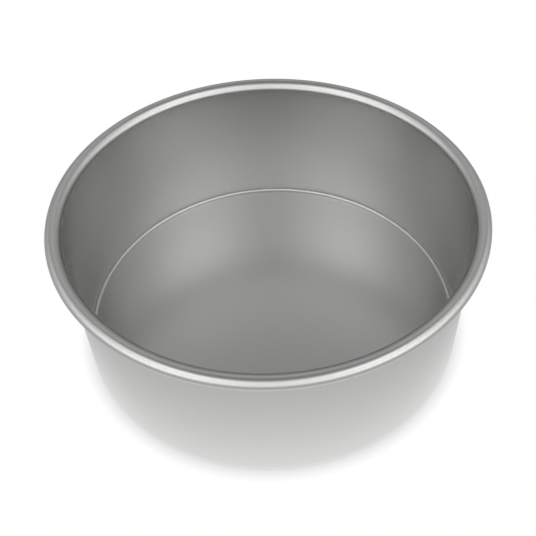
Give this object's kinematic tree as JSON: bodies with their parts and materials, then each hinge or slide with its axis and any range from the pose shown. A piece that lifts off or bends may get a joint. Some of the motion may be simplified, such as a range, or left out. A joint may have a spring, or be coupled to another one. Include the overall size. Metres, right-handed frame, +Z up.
{
  "type": "round cake tin",
  "caption": "Round, straight-sided, fixed-base cake tin drawn from sheet, in satin anodised aluminium, with a fat hollow curled rim.",
  "frame": {"origin": "centre of the underside, on the surface that the tin stands on", "axes": "+Z up along the tin's axis, out of its mouth; +X and +Y lie in the underside, and the tin is the same all round"},
  "size_m": [0.2738, 0.2738, 0.1028],
  "materials": {
    "satin_anodised_aluminium": "satin anodised, soft blurred reflections, no clear coat"
  },
  "bodies": {
    "root": {"tin_body": "satin_anodised_aluminium"}
  },
  "joints": []
}
